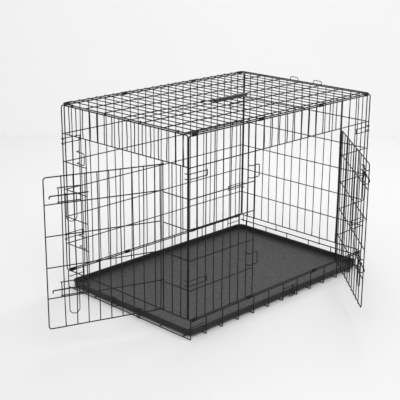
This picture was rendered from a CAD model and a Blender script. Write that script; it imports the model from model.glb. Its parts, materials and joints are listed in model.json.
# %% [markdown]
# # A folding wire dog crate
#
# The crate is a cage of thin black wires over a plastic pan. Its solids are already built and
# checked elsewhere, and this script dresses them: smooth wires, real coatings, light and a camera.
# Everything is in metres in one frame: the origin is on the ground at the middle of the cage,
# +X runs along it and +Z is up. The near end (-X) has a door, and so has the front (-Y).

# %% Load the crate's solids
import json
import math

import bpy
from mathutils import Matrix, Vector


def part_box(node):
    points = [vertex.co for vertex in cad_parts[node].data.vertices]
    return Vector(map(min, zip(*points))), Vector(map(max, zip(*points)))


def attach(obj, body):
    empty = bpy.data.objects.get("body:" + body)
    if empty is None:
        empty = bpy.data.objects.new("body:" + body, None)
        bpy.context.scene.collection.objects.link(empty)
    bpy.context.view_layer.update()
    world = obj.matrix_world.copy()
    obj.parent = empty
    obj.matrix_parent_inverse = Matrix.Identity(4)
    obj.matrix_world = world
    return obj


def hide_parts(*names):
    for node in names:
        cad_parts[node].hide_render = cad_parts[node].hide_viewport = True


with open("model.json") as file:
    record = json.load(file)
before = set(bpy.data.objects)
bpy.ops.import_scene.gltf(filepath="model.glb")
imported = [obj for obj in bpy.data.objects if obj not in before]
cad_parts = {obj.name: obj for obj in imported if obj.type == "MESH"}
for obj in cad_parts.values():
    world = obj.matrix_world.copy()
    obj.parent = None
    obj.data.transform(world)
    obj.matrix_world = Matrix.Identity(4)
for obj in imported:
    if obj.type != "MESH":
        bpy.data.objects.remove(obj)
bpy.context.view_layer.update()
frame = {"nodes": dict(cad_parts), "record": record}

# %% [markdown]
# ## One ruler for all the wires
#
# A wire cage is regular: panels have an edge wire, row wires and upright bars at an even pitch.
# So a few gauges and pitches, in millimetres, place every wire, and the outer sizes come from
# the boxes of the solids. Reading them from the solids keeps both models the same size.

# %% Gauges, pitches and the cage's main planes
MM = 0.001
EDGE_WIRE = 4.6
POST_WIRE = 4.2
ROW_WIRE = 3.9
BAR_WIRE = 3.4
DOOR_WIRE = 4.1
FORM_WIRE = 3.4
EYE_WIRE = 3.0
WELD = 0.5
EYE_PLAY = 0.08
CLEARANCE = 0.4
BASE_GAP = 2.8


def box_mm(node):
    """A solid's lowest and highest corners in millimetres."""
    low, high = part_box(node)
    return Vector(low) / MM, Vector(high) / MM


side_low, side_high = box_mm("side_front_edge")
end_low, end_high = box_mm("near_end_edge")
top_low, top_high = box_mm("top_panel")
side_half = side_high.x - EDGE_WIRE / 2
side_y = -side_low.y - EDGE_WIRE / 2
sill_height = side_low.z + EDGE_WIRE / 2
side_top = side_high.z - EDGE_WIRE / 2
top_height = top_low.z + EDGE_WIRE / 2
deck_half = top_high.x - EDGE_WIRE / 2
end_x = -end_low.x - EDGE_WIRE / 2
end_half = end_high.y - EDGE_WIRE / 2
end_top = end_high.z - EDGE_WIRE / 2
CORNER_BEND = 8.0
ROWS = 5
ROW_PITCH = 117.0
SIDE_BAR_PITCH = 44.8
END_BAR_PITCH = 44.3
HEADER_BAR_PITCH = 43.4
TOP_WIRE_PITCH = 111.0
bar_drop = (EDGE_WIRE + BAR_WIRE) / 2 - WELD
row_levels = [sill_height + row * ROW_PITCH for row in range(1, ROWS + 1)]
doorway_top = row_levels[-1]
print(f"cage {2 * side_half:.0f} x {2 * side_y:.0f} x {top_height:.0f} mm, rows at",
      [round(z) for z in row_levels])

# %% [markdown]
# ## How a wire is made
#
# A real wire has one gauge along its length, bends with a small inner radius, and is cut off
# square with its edge softened by the coating. A bevelled curve gives just that: the path is the
# wire's middle line, and each point's radius sets the gauge. Corners are turned into short arcs
# first. The curve is then made into a mesh, so that every later tool sees plain faces.
#
# The solids are bare steel and the dipped coating lies on top of it, so most wires are drawn a
# little thicker than their gauge. Hinge eyes, doorway posts, bolts, pulls and the bail are drawn
# at their gauge.

# %% Bend, end and sweep a wire
ARC_STEPS = 7
RING_STEPS = 28
STRAIGHT = math.radians(179)
END_SHRINK = 0.72
END_TAPER = 0.35
WIRE_BEND = 3.5
COATING = 0.25


def rounded_path(points, bend):
    """The wire's middle line with each inner corner turned into an arc of radius bend."""
    corners = [Vector(point) for point in points]
    path = [corners[0]]
    for before, corner, after in zip(corners, corners[1:], corners[2:]):
        back = (before - corner).normalized()
        ahead = (after - corner).normalized()
        angle = back.angle(ahead)
        if angle > STRAIGHT:
            path.append(corner)
            continue
        reach = bend / math.tan(angle / 2)
        reach = min(reach, 0.49 * (before - corner).length, 0.49 * (after - corner).length)
        radius = reach * math.tan(angle / 2)
        centre = corner + (back + ahead).normalized() * (radius / math.sin(angle / 2))
        spoke = corner + back * reach - centre
        axis = spoke.cross(corner + ahead * reach - centre)
        for step in range(ARC_STEPS + 1):
            turn = Matrix.Rotation((math.pi - angle) * step / ARC_STEPS, 3, axis)
            path.append(centre + turn @ spoke)
    path.append(corners[-1])
    return path


def softened_ends(path, gauge):
    """Path points with their radii, which taper a little over the last third of a radius."""
    radius = gauge / 2
    taper = END_TAPER * radius
    first = path[0] + (path[1] - path[0]).normalized() * taper
    last = path[-1] + (path[-2] - path[-1]).normalized() * taper
    ends = [(path[0], END_SHRINK * radius), (first, radius)]
    middle = [(point, radius) for point in path[1:-1]]
    return ends + middle + [(last, radius), (path[-1], END_SHRINK * radius)]


def wire(points, gauge, bend=WIRE_BEND, coating=COATING):
    """One open wire; its dipped coating adds a little to the gauge."""
    path = rounded_path(points, bend)
    return {"points": softened_ends(path, gauge + coating), "closed": False}


def loop(points, gauge, bend):
    """One closed wire, such as a panel's edge, with rounded corners."""
    corners = [Vector(point) for point in points]
    start = (corners[0] + corners[1]) / 2
    path = rounded_path([start] + corners[1:] + [corners[0], start], bend)
    return {"points": [(point, (gauge + COATING) / 2) for point in path[:-1]], "closed": True}


def ring(centre, axis, around, gauge):
    """A hinge eye: a closed ring that turns on a wire of gauge `around`."""
    radius = around / 2 + EYE_PLAY + gauge / 2
    axis = Vector(axis).normalized()
    spoke = axis.orthogonal().normalized() * radius
    points = []
    for step in range(RING_STEPS):
        turn = Matrix.Rotation(math.tau * step / RING_STEPS, 3, axis)
        points.append((Vector(centre) + turn @ spoke, gauge / 2))
    return {"points": points, "closed": True}


def placed(wires, matrix):
    """The same wires moved by a matrix."""
    return [{"points": [(matrix @ point, radius) for point, radius in one["points"]],
             "closed": one["closed"]} for one in wires]


# %% [markdown]
# ## From wires to a piece
#
# Each welded panel becomes one piece that stands for its solid and rides on the same body. The
# piece is compared with the box of its solid, which shows at once if a wire is out of place.

# %% Make a piece out of wires
pieces = {}


def body_of(node):
    """The body that carries a node, as the record says."""
    bodies = frame["record"]["behaviour"]["bodies"]
    return next(body for body, nodes in bodies.items() if node in nodes)


def slot_of(node):
    """The finish that the record gives to a node."""
    subparts = frame["record"]["subparts"]
    return next(part["material_slot"] for part in subparts if part["node"] == node)


def stand_for(piece, *nodes):
    """Lets a piece take its solids' place: it rides on the same body and uses the same finish."""
    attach(piece, body_of(nodes[0]))
    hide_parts(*nodes)
    pieces.update({node: piece for node in nodes})
    corners = [Vector(corner) for corner in piece.bound_box]
    boxes = [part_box(node) for node in nodes]
    gaps = [abs(min(c[k] for c in corners) - min(box[0][k] for box in boxes)) for k in range(3)]
    gaps += [abs(max(c[k] for c in corners) - max(box[1][k] for box in boxes)) for k in range(3)]
    print(f"{piece.name}: {len(piece.data.polygons)} faces, box within {max(gaps) / MM:.2f} mm")


def wire_piece(name, nodes, wires):
    """One mesh made of many wires, in the place of the solids named, which share one body."""
    curve = bpy.data.curves.new(name + "_path", "CURVE")
    curve.dimensions = "3D"
    curve.bevel_depth = MM
    curve.bevel_resolution = 3
    curve.use_fill_caps = True
    for one in wires:
        spline = curve.splines.new("POLY")
        spline.points.add(len(one["points"]) - 1)
        for point, (place, radius) in zip(spline.points, one["points"]):
            point.co = (*(place * MM), 1)
            point.radius = radius
        spline.use_cyclic_u = one["closed"]
    swept = bpy.data.objects.new(name + "_path", curve)
    bpy.context.collection.objects.link(swept)
    graph = bpy.context.evaluated_depsgraph_get()
    shape = bpy.data.meshes.new_from_object(swept.evaluated_get(graph))
    bpy.data.objects.remove(swept)
    shape.name = name
    shape.shade_smooth()
    piece = bpy.data.objects.new(name, shape)
    bpy.context.collection.objects.link(piece)
    stand_for(piece, *nodes.split())
    return piece


# %% [markdown]
# ## Placing a panel
#
# It is easier to draw a panel flat: x along it, y up it and z out of the cage. One matrix per
# side then stands it up in its own place, and half a turn gives the opposite side.
#
# Thin bars are never quite straight between their welds. Each one bows and sways by its own small
# amount, set by its number, so that the rows of bars don't look ruled.

# %% Planes of the four walls
def plane(origin, along, outward):
    """A matrix that takes a flat drawing to a wall."""
    along = Vector(along)
    outward = Vector(outward)
    axes = Matrix((along, Vector((0, 0, 1)), outward)).transposed().to_4x4()
    return Matrix.Translation(origin) @ axes


ON_FRONT = plane((0, -side_y, 0), (1, 0, 0), (0, -1, 0))
ON_NEAR_END = plane((-end_x, 0, 0), (0, -1, 0), (-1, 0, 0))
HALF_TURN = Matrix.Rotation(math.pi, 4, "Z")
FRONT_TO_BACK = Matrix.Scale(-1, 4, (0, 1, 0))
BAR_BOW = 2.2
BOW_STEPS = 8
BOW_BEND = 60
BAR_COATING = 1.6 * COATING


def panel_edge(half, low, high):
    """The closed edge wire around a panel."""
    corners = [(-half, low, 0), (half, low, 0), (half, high, 0), (-half, high, 0)]
    return loop(corners, EDGE_WIRE, CORNER_BEND)


def row_wires(start, end, levels):
    """Straight level wires, one at each height."""
    return [wire([(start, y, 0), (end, y, 0)], ROW_WIRE) for y in levels]


def bowed_bar(x, low, high, depth, number):
    """A thin bar, straight at its welds and a little bowed between them."""
    bow = BAR_BOW * math.sin(2.4 * number + 0.01 * low)
    sway = 0.5 * BAR_BOW * math.cos(1.7 * number)
    points = []
    for step in range(BOW_STEPS + 1):
        t = step / BOW_STEPS
        shift = bow * math.sin(math.pi * t) + sway * math.sin(math.tau * t)
        points.append((x + shift, low + t * (high - low), depth))
    return wire(points, BAR_WIRE, BOW_BEND, BAR_COATING)


def bars(places, low, high):
    """Upright bars behind the rows, welded over the wires at both ends."""
    over = BAR_WIRE / 2
    return [bowed_bar(x, low - over, high + over, -bar_drop, number)
            for number, x in enumerate(places)]


def posts(places, low, high):
    """The bare posts beside a doorway, which the hinge eyes turn on."""
    return [wire([(x, low, 0), (x, high, 0)], POST_WIRE, coating=0) for x in places]


# %% [markdown]
# ## The side panels
#
# Both long sides are the same grille, but the front one leaves out a doorway. There the bars stop
# above the opening, and two stronger posts run the full height: the door hangs on one of them.

# %% Build the side panels
side_bars = math.floor((deck_half - EDGE_WIRE * 2) / SIDE_BAR_PITCH)
side_places = [i * SIDE_BAR_PITCH for i in range(-side_bars, side_bars + 1)]
joints = {joint["name"]: joint for joint in frame["record"]["behaviour"]["joints"]}
hinge_post_x = joints["side_door_hinge"]["pos_m"][0] / MM
LATCH_POST_X = -188.0


def back_side_wires():
    wires = [panel_edge(side_half, sill_height, side_top)]
    wires += row_wires(-side_half, side_half, row_levels)
    wires += bars(side_places, sill_height, side_top)
    return placed(wires, HALF_TURN @ ON_FRONT)


def front_side_wires():
    near = LATCH_POST_X - SIDE_BAR_PITCH / 2
    far = hinge_post_x + SIDE_BAR_PITCH / 2
    over_door = [x for x in side_places if near + SIDE_BAR_PITCH < x < far - SIDE_BAR_PITCH]
    beside_door = [x for x in side_places if x < near or x > far]
    wires = [panel_edge(side_half, sill_height, side_top)]
    wires += row_wires(-side_half, side_half, [doorway_top])
    wires += row_wires(-side_half, LATCH_POST_X, row_levels[:-1])
    wires += row_wires(hinge_post_x, side_half, row_levels[:-1])
    wires += posts([LATCH_POST_X, hinge_post_x], sill_height, side_top)
    wires += bars(beside_door, sill_height, side_top)
    wires += bars(over_door, doorway_top, side_top)
    return placed(wires, ON_FRONT)


wire_piece("side_grille_back", "side_panel_back", back_side_wires())
wire_piece("side_grille_front", "side_front_edge side_front_near side_front_far side_front_header",
           front_side_wires())

# %% [markdown]
# ## The top panel
#
# The top is a grille laid flat. Its crosswise bars lie over its lengthwise wires, so the drawing
# is turned over: z points down there, and the bars come out above. Two loops of wire stand on its
# far edge, where the folded cage is gripped.

# %% Build the top panel and its loops
LOOP_WIDTH = 44.0
LOOP_HEIGHT = 14.0
LOOP_PLACES = (-81.0, 51.0)
LOOP_BEND = 7
ON_TOP = Matrix.Translation((0, 0, top_height)) @ Matrix.Scale(-1, 4, (0, 0, 1))


def top_wires():
    count = math.floor((side_y - EDGE_WIRE * 2) / TOP_WIRE_PITCH)
    levels = [i * TOP_WIRE_PITCH for i in range(-count, count + 1)]
    wires = [panel_edge(deck_half, -side_y, side_y)]
    wires += row_wires(-deck_half, deck_half, levels)
    wires += bars(side_places, -side_y, side_y)
    return placed(wires, ON_TOP)


def top_loop_wires():
    x = deck_half + (EDGE_WIRE + EYE_WIRE) / 2 - WELD
    half = LOOP_WIDTH / 2
    low = top_height - EDGE_WIRE / 3
    high = top_height + LOOP_HEIGHT
    return [wire([(x, y - half, low), (x, y - half, high), (x, y + half, high), (x, y + half, low)],
                 EYE_WIRE, LOOP_BEND) for y in LOOP_PLACES]


wire_piece("top_grille", "top_panel", top_wires())
wire_piece("top_edge_loops", "top_loops", top_loop_wires())

# %% [markdown]
# ## The end panels
#
# The end panels hang between the sides and fold inwards, the near one from the top and the far one
# on the base. Each turns on small eyes of wire. The near panel has the end doorway in its middle.

# %% Build the end panels with their eyes
end_post_y = -joints["end_door_hinge"]["pos_m"][1] / MM
far_hinge = Vector(joints["far_end_fold"]["pos_m"]) / MM
near_hinge = Vector(joints["near_end_fold"]["pos_m"]) / MM
INNER_HOOK_Y = 130.0
OUTER_HOOK_Y = 340.0
INNER_EYE_Y = 100.0
OUTER_EYE_Y = 298.0


def far_end_wires():
    count = math.floor((end_half - EDGE_WIRE * 2) / END_BAR_PITCH)
    wires = [panel_edge(end_half, sill_height, end_top)]
    wires += row_wires(-end_half, end_half, row_levels)
    wires += bars([i * END_BAR_PITCH for i in range(-count, count + 1)], sill_height, end_top)
    return placed(wires, HALF_TURN @ ON_NEAR_END)


def near_end_wires():
    header = math.floor((end_half - EDGE_WIRE * 2) / HEADER_BAR_PITCH + 0.5)
    beside = [side * (end_post_y + i * END_BAR_PITCH) for i in (1, 2) for side in (-1, 1)]
    wires = [panel_edge(end_half, sill_height, end_top)]
    wires += row_wires(-end_half, end_half, [doorway_top])
    wires += row_wires(-end_half, -end_post_y, row_levels[:-1])
    wires += row_wires(end_post_y, end_half, row_levels[:-1])
    wires += posts([-end_post_y, end_post_y], sill_height, doorway_top)
    wires += bars(beside, sill_height, doorway_top)
    over_door = [(i + 0.5) * HEADER_BAR_PITCH for i in range(-header, header)]
    wires += bars(over_door, doorway_top, end_top)
    return placed(wires, ON_NEAR_END)


def near_eye_wires():
    return [ring((near_hinge.x, side * y, near_hinge.z), (0, 1, 0), EDGE_WIRE, EYE_WIRE)
            for side in (-1, 1) for y in (INNER_EYE_Y, OUTER_EYE_Y)]


def far_hook_wires():
    wires = []
    for y in (-OUTER_HOOK_Y, -INNER_HOOK_Y, INNER_HOOK_Y, OUTER_HOOK_Y):
        eye_top = far_hinge.z + EDGE_WIRE / 2 + EYE_PLAY + EYE_WIRE / 2
        arm_top = sill_height + EDGE_WIRE / 2 - WELD
        wires.append(ring((far_hinge.x, y, far_hinge.z), (0, 1, 0), EDGE_WIRE, EYE_WIRE))
        wires.append(wire([(far_hinge.x, y, eye_top), (far_hinge.x, y, arm_top)], FORM_WIRE))
    return wires


wire_piece("far_end_grille", "far_end_panel", far_end_wires())
wire_piece("far_end_hinge_arms", "far_end_hooks", far_hook_wires())
wire_piece("near_end_grille", "near_end_edge near_end_front near_end_back near_end_header",
           near_end_wires())
wire_piece("near_end_hinge_eyes", "near_end_eyes", near_eye_wires())

# %% [markdown]
# ## The base
#
# The base is a shallow basket: each crosswise wire lies on the ground and turns up at both sides,
# where a long wire ties the ends together. Drawing each of them as a floor part and two upstands
# keeps the same pieces that the solids have, so the bends of the upstands start at the floor.

# %% Build the base
CROSS_WIRE = 3.8
LONG_WIRE = 3.6
LONG_WIRE_PITCH = 130.0
LONG_WIRE_PAIRS = 3
BASE_BEND = 5.0
STIFFENER_HEIGHT = 48.0
cross_z = CROSS_WIRE / 2
long_z = CROSS_WIRE + LONG_WIRE / 2 - WELD
upstand_top = sill_height - EDGE_WIRE - BASE_GAP
upright_y = side_y + (EDGE_WIRE + CROSS_WIRE) / 2 - WELD
upright_x = end_x + (EDGE_WIRE + LONG_WIRE) / 2 - WELD
upright_pitch = 2 * SIDE_BAR_PITCH
stiffener_y = upright_y - (CROSS_WIRE + FORM_WIRE) / 2 + WELD
uprights = math.floor((deck_half - upright_pitch / 2) / upright_pitch)
inner_uprights = [i * upright_pitch for i in range(-uprights, uprights + 1)]
upright_places = [-deck_half] + inner_uprights + [deck_half]
long_wires = [(i + 0.5) * LONG_WIRE_PITCH for i in range(-LONG_WIRE_PAIRS, LONG_WIRE_PAIRS)]


def floor_wires():
    across = upright_y - BASE_BEND
    wires = [wire([(x, -across, cross_z), (x, across, cross_z)], CROSS_WIRE)
             for x in upright_places]
    wires += [wire([(-deck_half, y, long_z), (upright_x - BASE_BEND, y, long_z)], LONG_WIRE)
              for y in long_wires]
    return wires


def stiffener(start, end):
    """A short level wire behind the front uprights."""
    return wire([(start, -stiffener_y, STIFFENER_HEIGHT), (end, -stiffener_y, STIFFENER_HEIGHT)],
                FORM_WIRE)


def front_upstand_wires():
    rail = [(-deck_half, -side_y, upstand_top), (deck_half, -side_y, upstand_top)]
    wires = [wire(rail, EDGE_WIRE)]
    for x in upright_places:
        corner = (x, -upright_y, cross_z)
        foot = (x, BASE_BEND - upright_y, cross_z)
        head = (x, -upright_y, upstand_top + CROSS_WIRE / 2)
        wires.append(wire([foot, corner, head], CROSS_WIRE, BASE_BEND))
    last = uprights * upright_pitch
    wires += [stiffener(side * deck_half, side * last) for side in (-1, 1)]
    return wires


def far_upstand_wires():
    half = side_y - EDGE_WIRE
    wires = [wire([(end_x, -half, far_hinge.z), (end_x, half, far_hinge.z)], EDGE_WIRE)]
    for y in long_wires:
        foot = (upright_x - BASE_BEND, y, long_z)
        head = (upright_x, y, far_hinge.z + LONG_WIRE / 2)
        wires.append(wire([foot, (upright_x, y, long_z), head], LONG_WIRE, BASE_BEND))
    return wires


wire_piece("base_floor_wires", "base_floor_grid", floor_wires())
hook_bar = stiffener(0, upright_pitch)
wire_piece("base_front_rail", "base_front_upstand", front_upstand_wires() + [hook_bar])
wire_piece("base_back_rail", "base_back_upstand", placed(front_upstand_wires(), FRONT_TO_BACK))
wire_piece("base_far_rail", "base_far_upstand", far_upstand_wires())

# %% [markdown]
# ## Corner catches and keepers
#
# Catches are long hairpins of wire: they hook around the end panels and hold the cage upright.
# Keepers are short hairpins that stand off the panel beside each doorway, and the bolts slide
# behind their closed ends. Both have round bends, as a wire former leaves them.

# %% Build the catches and keepers
LOW_CATCH_HEIGHT = 228.0
HIGH_CATCH_HEIGHT = 634.0
CATCH_HEIGHT = 20.0
CATCH_GAP = 1.0
CATCH_BEND = 4
KEEPER_BEND = 6
KEEPER_HEIGHT = 48.0
END_KEEPER_LEAD = 6.0
SIDE_KEEPER_LEAD = 10.0
DOOR_RISE = 7.5
DOOR_TOP_DROP = 11.0
END_LATCH_LIFT = 31.0
SIDE_LATCH_LIFT = 37.0
BOLT_WIRE = 4.8
door_stand = (POST_WIRE + DOOR_WIRE) / 2 + CLEARANCE
bolt_stand = door_stand + (DOOR_WIRE + BOLT_WIRE) / 2 + CLEARANCE
guide_stand = bolt_stand + (BOLT_WIRE + FORM_WIRE) / 2 + CLEARANCE
door_rows = [z + DOOR_RISE for z in row_levels[:-1]]
latch_rows = {"lower": door_rows[0], "upper": door_rows[3]}


def corner_catch_wires():
    """Two hairpins at the back far corner, each with two short feet on the second bar."""
    bar_x = (side_bars - 1) * SIDE_BAR_PITCH
    bar_y = side_y - bar_drop + BAR_WIRE / 2 - WELD
    leg_y = side_y + (EDGE_WIRE + FORM_WIRE) / 2 - WELD
    hook_x = side_half + (EDGE_WIRE + FORM_WIRE) / 2 + CATCH_GAP
    hook_end = end_half - EDGE_WIRE
    wires = []
    for z in (LOW_CATCH_HEIGHT, HIGH_CATCH_HEIGHT):
        low = z - CATCH_HEIGHT / 2
        high = z + CATCH_HEIGHT / 2
        wires.append(wire([(hook_x, hook_end, low), (hook_x, leg_y, low), (bar_x, leg_y, low),
                           (bar_x, leg_y, high), (hook_x, leg_y, high), (hook_x, hook_end, high)],
                          FORM_WIRE, CATCH_BEND))
        wires += [wire([(bar_x, bar_y, leg), (bar_x, leg_y, leg)], FORM_WIRE)
                  for leg in (low, high)]
    return wires


def keeper_wires(lead, bar, z):
    """A hairpin that stands off its panel on two feet, closed end over the bolt."""
    foot = -bar_drop + BAR_WIRE / 2 - WELD
    low = z - KEEPER_HEIGHT / 2
    high = z + KEEPER_HEIGHT / 2
    return wire([(-bar, low, foot), (-bar, low, guide_stand), (-lead, low, guide_stand),
                 (-lead, high, guide_stand), (-bar, high, guide_stand), (-bar, high, foot)],
                FORM_WIRE, KEEPER_BEND)


END_DOORWAY = Matrix.Translation((0, -end_post_y, 0)) @ ON_NEAR_END
SIDE_DOORWAY = Matrix.Translation((hinge_post_x, 0, 0)) @ ON_FRONT
post_gap = hinge_post_x - LATCH_POST_X
keeper_bar = hinge_post_x + SIDE_BAR_PITCH * (1 + math.floor(-LATCH_POST_X / SIDE_BAR_PITCH))
end_lead = 2 * end_post_y - END_KEEPER_LEAD
end_keeper_wires = [keeper_wires(end_lead, 2 * end_post_y + END_BAR_PITCH, z + END_LATCH_LIFT)
                    for z in latch_rows.values()]
side_keeper_wires = [keeper_wires(post_gap - SIDE_KEEPER_LEAD, keeper_bar, z + SIDE_LATCH_LIFT)
                     for z in latch_rows.values()]
wire_piece("end_door_keepers", "end_keepers", placed(end_keeper_wires, END_DOORWAY))
wire_piece("side_door_keepers", "side_keepers", placed(side_keeper_wires, SIDE_DOORWAY))
for y_name, y in (("front", -1), ("back", 1)):
    for x_name, x in (("near", -1), ("far", 1)):
        corner = Matrix.Diagonal((x, y, 1, 1))
        wire_piece(f"corner_catch_{y_name}_{x_name}", f"catch_{y_name}_{x_name}",
                   placed(corner_catch_wires(), corner))

# %% [markdown]
# ## The doors
#
# A door is a light grille with a round-cornered outer wire. Its top and bottom wires and two of its
# rows end in eyes around the doorway's post, and that is the whole hinge. Both doors stand open, so
# the door is drawn closed and then turned about its post by the angle at which the solid stands.

# %% Build the doors
HINGE_BAR_REACH = 12.0
FIRST_BAR_REACH = 32.5
DOOR_BAR_PITCH = {"end": 44.0, "side": 44.4}
DOOR_GAP = {"end": -7.0, "side": 16.0}
DOOR_BEND = 10.0
DOOR_ROW_WIRE = ROW_WIRE - 0.1
door_bottom = sill_height + DOOR_RISE
door_top = doorway_top - DOOR_TOP_DROP
door_bar_stand = door_stand - (DOOR_WIRE + BAR_WIRE) / 2 + WELD
door_reach = {"end": 2 * end_post_y - DOOR_GAP["end"], "side": post_gap - DOOR_GAP["side"]}


def open_turn(door, closed):
    """The turn from closed to standing open, read from the direction in which its bolts slide."""
    slide = Vector(joints[f"{door}_bolt_upper_slide"]["axis"])
    pivot = Vector(joints[f"{door}_door_hinge"]["pos_m"]) / MM
    angle = math.atan2(slide.y, slide.x) - math.atan2(closed[1], closed[0])
    to_pivot = Matrix.Translation((pivot.x, pivot.y, 0))
    return to_pivot @ Matrix.Rotation(angle, 4, "Z") @ to_pivot.inverted()


DOOR_PLACE = {"end": open_turn("end", (0, 1)) @ END_DOORWAY,
              "side": open_turn("side", (-1, 0)) @ SIDE_DOORWAY}


def door_wires(reach, pitch):
    half_wire = BAR_WIRE / 2
    count = math.floor((reach - FIRST_BAR_REACH - pitch / 2) / pitch) + 1
    outline = [(0, door_bottom, door_stand), (-reach, door_bottom, door_stand),
               (-reach, door_top, door_stand), (0, door_top, door_stand)]
    wires = [wire(outline, DOOR_WIRE, DOOR_BEND)]
    for row, y in enumerate(door_rows):
        start = 0 if row % 3 == 0 else -HINGE_BAR_REACH
        wires.append(wire([(start, y, door_stand), (-reach, y, door_stand)], DOOR_ROW_WIRE))
    reaches = [HINGE_BAR_REACH] + [FIRST_BAR_REACH + i * pitch for i in range(count)]
    for number, s in enumerate(reaches):
        wires.append(bowed_bar(-s, door_bottom - half_wire, door_top + half_wire,
                               door_bar_stand, number))
    for y in (door_bottom, door_rows[0], door_rows[3], door_top):
        wires.append(ring((0, y, 0), (0, 1, 0), POST_WIRE, EYE_WIRE))
    return wires


for door in ("end", "side"):
    wire_piece(f"{door}_door_grille", f"{door}_door",
               placed(door_wires(door_reach[door], DOOR_BAR_PITCH[door]), DOOR_PLACE[door]))

# %% [markdown]
# ## The latches
#
# Each door has two slide latches. A bent guide wire holds a thick bolt against the door, and a
# long U of wire hangs from the bolt as its pull. The bolt's tip is turned down, so that it drops
# behind the keeper. Bolt and pull are pieces of their own: one slides and the other swings.

# %% Build guides, bolts and pulls
GUIDE_WIDTH = 80.0
GUIDE_HEIGHT = 52.0
GUIDE_INSET = {"end": 50.0, "side": 41.0}
BOLT_INSET = {"end": 18.0, "side": 7.0}
BOLT_LENGTH = 143.0
BOLT_HOOK = 10.0
PULL_LENGTH = 100.0
PULL_WIDTH = 38.0
PULL_INSET = 28.0
PULL_WIRE = EYE_WIRE + 0.2
GUIDE_ROD_WIRE = FORM_WIRE + 0.2
GUIDE_ROD_OVER = FORM_WIRE / 2 + 0.2
GUIDE_BEND = 7
BOLT_BEND = 4
PULL_BEND = PULL_WIDTH / 2 - 0.5
guide_foot = door_bar_stand + (BAR_WIRE + FORM_WIRE) / 2 - WELD


def guide_wires(door, z):
    near = GUIDE_INSET[door] - door_reach[door]
    far = near + GUIDE_WIDTH
    half = GUIDE_HEIGHT / 2
    wires = [wire([(x, z - half, guide_foot), (x, z - half, guide_stand),
                   (x, z + half, guide_stand), (x, z + half, guide_foot)], FORM_WIRE, GUIDE_BEND)
             for x in (near, far)]
    start = near - GUIDE_ROD_OVER
    end = far + GUIDE_ROD_OVER
    wires += [wire([(start, y, guide_foot), (end, y, guide_foot)], GUIDE_ROD_WIRE)
              for y in (z - half, z + half)]
    return wires


def bolt_wires(door, z):
    tip = BOLT_INSET[door] - door_reach[door]
    return [wire([(tip + BOLT_LENGTH, z, bolt_stand), (tip, z, bolt_stand),
                  (tip, z - BOLT_HOOK, bolt_stand)], BOLT_WIRE, BOLT_BEND, 0)]


def pull_wires(door, z):
    outer = GUIDE_INSET[door] + PULL_INSET - door_reach[door]
    inner = outer + PULL_WIDTH
    top = z - (BOLT_WIRE / 2 + EYE_PLAY + EYE_WIRE / 2)
    low = z - PULL_LENGTH - PULL_WIRE / 2
    wires = [ring((x, z, bolt_stand), (1, 0, 0), BOLT_WIRE, EYE_WIRE) for x in (outer, inner)]
    wires.append(wire([(outer, top, bolt_stand), (outer, low + PULL_WIRE / 2, bolt_stand),
                       (inner, low + PULL_WIRE / 2, bolt_stand), (inner, top, bolt_stand)],
                      PULL_WIRE, PULL_BEND, 0))
    return wires


for door, lift in (("end", END_LATCH_LIFT), ("side", SIDE_LATCH_LIFT)):
    guides = [one for z in latch_rows.values() for one in guide_wires(door, z + lift)]
    wire_piece(f"{door}_latch_guides", f"{door}_door_guides", placed(guides, DOOR_PLACE[door]))
    for row, z in latch_rows.items():
        wire_piece(f"{door}_latch_bolt_{row}", f"{door}_bolt_{row}",
                   placed(bolt_wires(door, z + lift), DOOR_PLACE[door]))
        wire_piece(f"{door}_latch_pull_{row}", f"{door}_pull_{row}",
                   placed(pull_wires(door, z + lift), DOOR_PLACE[door]))

# %% [markdown]
# ## The folding hook and the handle's bail
#
# A small anchor-shaped hook hangs on the front of the base and holds the folded cage shut. Its
# tips are curled in, so that they can't scratch. The carry handle is a bail: a wire bent square,
# with an eye at each end around the top's middle wire.

# %% Build the hook and the bail
FOLD_HOOK_WIDTH = 34.0
FOLD_HOOK_LENGTH = 43.0
FOLD_HOOK_RISE = 12.0
FOLD_HOOK_CURL = 7.0
FOLD_HOOK_BEND = 5.5
FOLD_HOOK_STEM = EYE_WIRE + 0.2
BAIL_BEND = 8
BAIL_WIRE = 4.0
BAIL_EYE_WIRE = BAIL_WIRE - 0.4
HANDLE_SPAN = 206.0
hook_pivot = Vector(joints["fold_hook_swing"]["pos_m"]) / MM
handle_x = joints["carry_handle_swing"]["pos_m"][0] / MM
grip_low, grip_high = box_mm("handle_grip")
grip_middle = (grip_low + grip_high) / 2


def fold_hook_wires():
    half = FOLD_HOOK_WIDTH / 2
    low = -FOLD_HOOK_LENGTH
    tip = low + FOLD_HOOK_RISE
    eye_bottom = -(FORM_WIRE / 2 + EYE_PLAY + EYE_WIRE / 2)
    flukes = [(FOLD_HOOK_CURL - half, 0, tip), (-half, 0, tip), (-half, 0, low),
              (half, 0, low), (half, 0, tip), (half - FOLD_HOOK_CURL, 0, tip)]
    wires = [ring((0, 0, 0), (1, 0, 0), FORM_WIRE, EYE_WIRE),
             wire([(0, 0, eye_bottom), (0, 0, low)], FOLD_HOOK_STEM),
             wire(flukes, EYE_WIRE, FOLD_HOOK_BEND)]
    return placed(wires, Matrix.Translation(hook_pivot))


def bail_wires():
    half = HANDLE_SPAN / 2
    lift = ROW_WIRE / 2 + EYE_PLAY + BAIL_EYE_WIRE / 2
    corners = [(-half, 0, top_height + lift), (-half, grip_middle.y, grip_middle.z),
               (half, grip_middle.y, grip_middle.z), (half, 0, top_height + lift)]
    wires = [wire(corners, BAIL_WIRE, BAIL_BEND, 0)]
    wires += [ring((x, 0, top_height), (1, 0, 0), ROW_WIRE, BAIL_EYE_WIRE) for x in (-half, half)]
    return placed(wires, Matrix.Translation((handle_x, 0, 0)))


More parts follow.
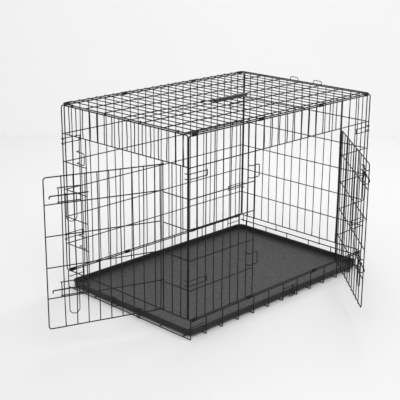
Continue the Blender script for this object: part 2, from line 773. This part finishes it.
wire_piece("folding_hook", "fold_hook", fold_hook_wires())
wire_piece("handle_wire", "handle_bail", bail_wires())

# %% [markdown]
# ## The grip
#
# The grip is a moulded plastic tube with shallow ribs, closed around the bail. A turned profile is
# the natural way to make it: a list of radii along its length, swept once around.

# %% Turn the grip from its profile
GRIP_RIBS = 9
RIB_DEPTH = 1.0
EDGE_SOFTNESS = 0.5


def turned(profile, steps=48):
    """Vertices and faces of a profile of (place along x, radius), swept around x."""
    points = []
    for x, radius in profile:
        for step in range(steps):
            angle = math.tau * step / steps
            points.append((x, radius * math.cos(angle), radius * math.sin(angle)))
    faces = []
    for row in range(len(profile) - 1):
        for step in range(steps):
            after = (step + 1) % steps
            faces.append((row * steps + step, (row + 1) * steps + step,
                          (row + 1) * steps + after, row * steps + after))
    return points, faces


def grip_profile():
    half = (grip_high.x - grip_low.x) / 2
    outer = (grip_high.z - grip_low.z) / 2
    neck = outer - RIB_DEPTH
    bore = BAIL_WIRE / 2 + EYE_PLAY
    rib_half = 0.08 * half
    profile = [(-half, bore), (-half, neck - EDGE_SOFTNESS), (EDGE_SOFTNESS - half, neck)]
    for i in range(GRIP_RIBS):
        middle = (i - (GRIP_RIBS - 1) / 2) * half / 5
        profile += [(middle - rib_half, neck), (middle - rib_half + EDGE_SOFTNESS, outer),
                    (middle + rib_half - EDGE_SOFTNESS, outer), (middle + rib_half, neck)]
    profile += [(half - EDGE_SOFTNESS, neck), (half, neck - EDGE_SOFTNESS), (half, bore)]
    return profile + [(-half, bore)]


def mesh_piece(name, node, points, faces, place=Vector((0, 0, 0))):
    """One mesh piece from points in millimetres, in the place of one solid."""
    shape = bpy.data.meshes.new(name)
    shape.from_pydata([(Vector(point) + place) * MM for point in points], [], faces)
    shape.validate()
    shape.update()
    shape.shade_smooth()
    piece = bpy.data.objects.new(name, shape)
    bpy.context.collection.objects.link(piece)
    bpy.context.view_layer.update()
    stand_for(piece, node)
    return piece


grip = mesh_piece("handle_grip_sleeve", "handle_grip", *turned(grip_profile()), grip_middle)
grip.data.set_sharp_from_angle(angle=math.radians(35))

# %% [markdown]
# ## The pan
#
# The pan is one sheet of plastic drawn down into a tray: a flat floor, a rounded foot, upright
# walls and a rolled rim. It is a stack of rounded rectangles, each with its own inset and height,
# joined ring to ring. That gives clean bands of faces and true rounded corners.

# %% Loft the pan
PAN_CORNER = 30.0
PAN_RIM = 7.0
PAN_SHEET = 2.5
CORNER_STEPS = 10
pan_low, pan_high = box_mm("pan")
pan_low.x = max(pan_low.x, -pan_high.x)


def rounded_ring(inset, z):
    """The points of one rounded rectangle, inset from the pan's outline."""
    half_x = pan_high.x - inset
    half_y = pan_high.y - inset
    radius = max(PAN_CORNER - inset, 3)
    points = []
    for corner, (sx, sy) in enumerate(((1, 1), (-1, 1), (-1, -1), (1, -1))):
        for step in range(CORNER_STEPS + 1):
            angle = math.radians(90 * corner + 90 * step / CORNER_STEPS)
            points.append((sx * (half_x - radius) + radius * math.cos(angle),
                           sy * (half_y - radius) + radius * math.sin(angle), z))
    return points


def pan_rings():
    """The pan's section from the middle of its underside around the rim to its floor."""
    low, rim = pan_low.z, pan_high.z
    wall = PAN_RIM - PAN_SHEET
    section = [(wall + 4, low), (wall + 1.2, low + 0.5), (wall + 0.2, low + 2), (wall, low + 5),
               (wall, rim - PAN_RIM + 1), (1.2, rim - PAN_RIM + 0.6), (0.3, rim - PAN_RIM + 0.9),
               (0, rim - PAN_RIM + 2), (0, rim - 2), (0.4, rim - 0.8), (1.6, rim),
               (PAN_RIM - 1.6, rim), (PAN_RIM - 0.4, rim - 0.7), (PAN_RIM, rim - 2),
               (PAN_RIM, low + PAN_SHEET + 4), (PAN_RIM + 0.6, low + PAN_SHEET + 1.6),
               (PAN_RIM + 2, low + PAN_SHEET + 0.4), (PAN_RIM + 4, low + PAN_SHEET)]
    return [rounded_ring(inset, z) for inset, z in section]


def lofted(rings):
    size = len(rings[0])
    points = [point for one in rings for point in one]
    faces = [tuple(reversed(range(size)))]
    for row in range(len(rings) - 1):
        for i in range(size):
            after = (i + 1) % size
            faces.append((row * size + i, row * size + after, (row + 1) * size + after,
                          (row + 1) * size + i))
    faces.append(tuple(range((len(rings) - 1) * size, len(rings) * size)))
    return points, faces


pan = mesh_piece("pan_tray", "pan", *lofted(pan_rings()))
pan.data.set_sharp_from_angle(angle=math.radians(60))

# %% [markdown]
# Two wire clips hook over the pan's near rim and reach down in front of the base's near wire.

# %% Build the pan clips
PAN_CLIP_Y = 78.0
PAN_CLIP_WIDTH = 14.0
PAN_CLIP_BEND = 3
PAN_CLIP_LIFT = 0.2


def pan_clip_wires():
    inside = pan_low.x + PAN_RIM + EYE_WIRE / 2 - WELD
    outside = -deck_half - (CROSS_WIRE + EYE_WIRE) / 2 - 2 * CLEARANCE
    over = pan_high.z + EYE_WIRE / 2 + CLEARANCE
    under = over - (pan_high.z - pan_low.z) / 2
    low = EYE_WIRE / 2 + PAN_CLIP_LIFT + CLEARANCE
    half = PAN_CLIP_WIDTH / 2
    wires = []
    for y in (-PAN_CLIP_Y, PAN_CLIP_Y):
        corners = [(inside, y - half, under), (inside, y - half, over), (outside, y - half, over),
                   (outside, y - half, low), (outside, y + half, low), (outside, y + half, over),
                   (inside, y + half, over), (inside, y + half, under)]
        wires.append(wire(corners, EYE_WIRE, PAN_CLIP_BEND))
    return wires


wire_piece("pan_rim_clips", "pan_clips", pan_clip_wires())

# %% [markdown]
# ## Coatings and plastics
#
# Every finish is built from a few noise textures at real scale. Black wire is dipped in a satin
# coating: it is never one even black, so its colour and its gloss both drift a little, and a fine
# orange-peel bump breaks up the highlights. The strip steel clips are a duller, deeper black.

# %% A workshop for finishes
def finish_material(name):
    material = bpy.data.materials.new(name)
    material.use_nodes = True
    tree = material.node_tree
    place = tree.nodes.new("ShaderNodeTexCoord")
    return material, tree, tree.nodes["Principled BSDF"], place.outputs["Object"]


def noise(tree, coordinates, size_mm, detail=3.0):
    """A noise whose lumps are about size_mm across."""
    node = tree.nodes.new("ShaderNodeTexNoise")
    node.inputs["Scale"].default_value = 1 / (size_mm * MM)
    node.inputs["Detail"].default_value = detail
    tree.links.new(coordinates, node.inputs["Vector"])
    return node.outputs["Fac"]


def ranged(tree, value, low, high):
    """A noise value spread between two limits."""
    node = tree.nodes.new("ShaderNodeMapRange")
    node.inputs["From Min"].default_value = 0.3
    node.inputs["From Max"].default_value = 0.7
    node.inputs["To Min"].default_value = low
    node.inputs["To Max"].default_value = high
    tree.links.new(value, node.inputs["Value"])
    return node.outputs["Result"]


def tinted(tree, value, dark, light):
    """A colour between two, by a noise value."""
    node = tree.nodes.new("ShaderNodeMix")
    node.data_type = "RGBA"
    node.inputs["A"].default_value = (*dark, 1)
    node.inputs["B"].default_value = (*light, 1)
    tree.links.new(value, node.inputs["Factor"])
    return node.outputs["Result"]


def bumped(tree, shader, height, depth_mm, strength):
    node = tree.nodes.new("ShaderNodeBump")
    node.inputs["Distance"].default_value = depth_mm * MM
    node.inputs["Strength"].default_value = strength
    tree.links.new(height, node.inputs["Height"])
    tree.links.new(node.outputs["Normal"], shader.inputs["Normal"])


def coated_steel(name, dark, light, smooth, rough, peel_mm):
    """Satin coating: drifting black, drifting gloss and a fine orange peel."""
    material, tree, shader, place = finish_material(name)
    drift = noise(tree, place, 35, 4)
    colour = tinted(tree, ranged(tree, drift, 0, 1), dark, light)
    tree.links.new(colour, shader.inputs["Base Color"])
    gloss = noise(tree, place, 6, 5)
    tree.links.new(ranged(tree, gloss, smooth, rough), shader.inputs["Roughness"])
    bumped(tree, shader, noise(tree, place, peel_mm, 2), 0.06, 0.6)
    shader.inputs["Specular IOR Level"].default_value = 0.14
    shader.inputs["Coat Weight"].default_value = 0.03
    shader.inputs["Coat Roughness"].default_value = 0.25
    return material


# %% [markdown]
# The pan and the grip are moulded plastic. The pan has a close leathery grain that scatters light,
# so its floor looks dark grey rather than black, with paler scuffs where paws have rubbed it. Its
# walls and rim are hardly touched, and they keep the first, blacker colour.

# %% Make the finishes
def grained_plastic(name, dark, light, smooth, rough, grain_mm, grain_depth):
    material, tree, shader, place = finish_material(name)
    scuffs = ranged(tree, noise(tree, place, 12, 8), 0, 1)
    tree.links.new(tinted(tree, scuffs, dark, light), shader.inputs["Base Color"])
    gloss = ranged(tree, noise(tree, place, 14, 6), smooth, rough)
    tree.links.new(gloss, shader.inputs["Roughness"])
    cells = tree.nodes.new("ShaderNodeTexVoronoi")
    cells.inputs["Scale"].default_value = 1 / (grain_mm * MM)
    tree.links.new(place, cells.inputs["Vector"])
    bumped(tree, shader, cells.outputs["Distance"], grain_depth, 0.5)
    shader.inputs["Specular IOR Level"].default_value = 0.4
    return material


UNWORN_BLEND = 2.5


def unworn_above(material, height_mm, colour):
    """Above one height the plastic keeps its first, blacker colour: nothing rubs it there."""
    tree = material.node_tree
    shader = tree.nodes["Principled BSDF"]
    worn = shader.inputs["Base Color"].links[0].from_socket
    apart = tree.nodes.new("ShaderNodeSeparateXYZ")
    tree.links.new(tree.nodes["Texture Coordinate"].outputs["Object"], apart.inputs["Vector"])
    blend = tree.nodes.new("ShaderNodeMapRange")
    blend.inputs["From Min"].default_value = height_mm * MM
    blend.inputs["From Max"].default_value = (height_mm + UNWORN_BLEND) * MM
    tree.links.new(apart.outputs["Z"], blend.inputs["Value"])
    mix = tree.nodes.new("ShaderNodeMix")
    mix.data_type = "RGBA"
    mix.inputs["B"].default_value = (*colour, 1)
    tree.links.new(worn, mix.inputs["A"])
    tree.links.new(blend.outputs["Result"], mix.inputs["Factor"])
    tree.links.new(mix.outputs["Result"], shader.inputs["Base Color"])


finishes = {
    "coated_wire": coated_steel("satin_black_wire", (0.004, 0.004, 0.004), (0.01, 0.01, 0.011),
                                0.3, 0.5, 1.1),
    "latch_wire": coated_steel("rubbed_black_latch_wire", (0.006, 0.006, 0.006),
                               (0.018, 0.018, 0.019), 0.22, 0.4, 0.8),
    "clip_steel": coated_steel("black_strip_steel", (0.003, 0.003, 0.003), (0.007, 0.007, 0.007),
                               0.4, 0.6, 1.6),
    "pan_plastic": grained_plastic("grained_pan_plastic", (0.022, 0.022, 0.023),
                                   (0.048, 0.048, 0.05), 0.5, 0.68, 1.8, 0.14),
    "grip_plastic": grained_plastic("moulded_grip_plastic", (0.022, 0.022, 0.023),
                                    (0.04, 0.04, 0.041), 0.22, 0.36, 0.9, 0.05),
}
unworn_above(finishes["pan_plastic"], pan_low.z + PAN_SHEET + 2, (0.012, 0.012, 0.0125))

# %% [markdown]
# Each piece takes the finish of its slot. The strip clips keep their solids: a small bevel softens
# the cut edges of the strip, which catch a thin line of light.

# %% Dress the pieces
STRIP_BEVEL = 0.25
for node, piece in pieces.items():
    if not piece.data.materials:
        piece.data.materials.append(finishes[slot_of(node)])
for node, solid in frame["nodes"].items():
    if node in pieces:
        continue
    for slot in solid.material_slots:
        slot.material = finishes[slot_of(node)]
    softened = solid.modifiers.new("soft_edges", "BEVEL")
    softened.width = STRIP_BEVEL * MM
    softened.segments = 2
    softened.limit_method = "ANGLE"
    print(node, "keeps its solid, with softened edges")

# %% [markdown]
# ## Camera, room and light
#
# The crate is seen from its near front corner, from the eye height of a standing person, with
# a long lens. A pale floor meets a pale wall behind it. The light is soft and nearly shadowless, so
# that thin black wires read as clear dark lines.

# %% Set the camera
camera_data = bpy.data.cameras.new("camera")
camera = bpy.data.objects.new("camera", camera_data)
bpy.context.collection.objects.link(camera)
bpy.context.scene.camera = camera
CAMERA_PLACE = Vector((-2.8809, -2.7254, 1.5939))
CAMERA_AHEAD = Vector((0.67943, 0.66982, -0.29954))
CAMERA_ROLL = math.radians(0.366)
camera_data.lens = 88.41
camera_data.sensor_width = 36
turn = CAMERA_AHEAD.to_track_quat("-Z", "Y").to_matrix().to_4x4()
camera.matrix_world = Matrix.Translation(CAMERA_PLACE) @ turn @ Matrix.Rotation(CAMERA_ROLL, 4, "Z")
print("camera", [round(v, 3) for v in camera.location], f"lens {camera_data.lens:.1f} mm")

# %% Lay the floor and stand the wall
ROOM_REACH = 14.0
WALL_DISTANCE = 6.51
FLOOR_COLOUR = (0.83, 0.83, 0.83)
WALL_COLOUR = (0.985, 0.985, 0.985)


def stage_sheet(name, corners, colour):
    shape = bpy.data.meshes.new(name)
    shape.from_pydata(corners, [], [(0, 1, 2, 3)])
    sheet = bpy.data.objects.new(name, shape)
    bpy.context.collection.objects.link(sheet)
    paint, tree, shader, place = finish_material(name + "_paint")
    mottle = ranged(tree, noise(tree, place, 900, 2), 0, 1)
    darker = tuple(0.99 * channel for channel in colour)
    tree.links.new(tinted(tree, mottle, darker, colour), shader.inputs["Base Color"])
    shader.inputs["Roughness"].default_value = 0.9
    shader.inputs["Specular IOR Level"].default_value = 0.1
    shape.materials.append(paint)
    return sheet


ahead = Vector((CAMERA_AHEAD.x, CAMERA_AHEAD.y, 0)).normalized()
across = Vector((-ahead.y, ahead.x, 0))
wall_foot = Vector((CAMERA_PLACE.x, CAMERA_PLACE.y, 0)) + ahead * WALL_DISTANCE
front_edge = wall_foot - ahead * ROOM_REACH
reach = across * ROOM_REACH
stage_sheet("floor", [front_edge - reach, front_edge + reach, wall_foot + reach,
                      wall_foot - reach], FLOOR_COLOUR)
up = Vector((0, 0, ROOM_REACH / 2))
stage_sheet("wall", [wall_foot - reach, wall_foot + reach, wall_foot + reach + up,
                     wall_foot - reach + up], WALL_COLOUR)

# %% Light the crate
world = bpy.data.worlds.new("room_light")
world.use_nodes = True
world.node_tree.nodes["Background"].inputs["Color"].default_value = (1, 1, 1, 1)
world.node_tree.nodes["Background"].inputs["Strength"].default_value = 0.77
bpy.context.scene.world = world


def soft_lamp(name, place, aim, size, power):
    data = bpy.data.lights.new(name, "AREA")
    data.size = size
    data.energy = power
    lamp = bpy.data.objects.new(name, data)
    bpy.context.collection.objects.link(lamp)
    lamp.location = place
    lamp.rotation_euler = (Vector(aim) - Vector(place)).to_track_quat("-Z", "Y").to_euler()
    return lamp


soft_lamp("window", (2.2, 1.2, 3.4), (0, 0, 0.3), 1.6, 64)
soft_lamp("ceiling", (-1.5, -2.0, 3.6), (0, 0, 0.4), 2.4, 45)
bpy.context.scene.view_settings.view_transform = "Standard"
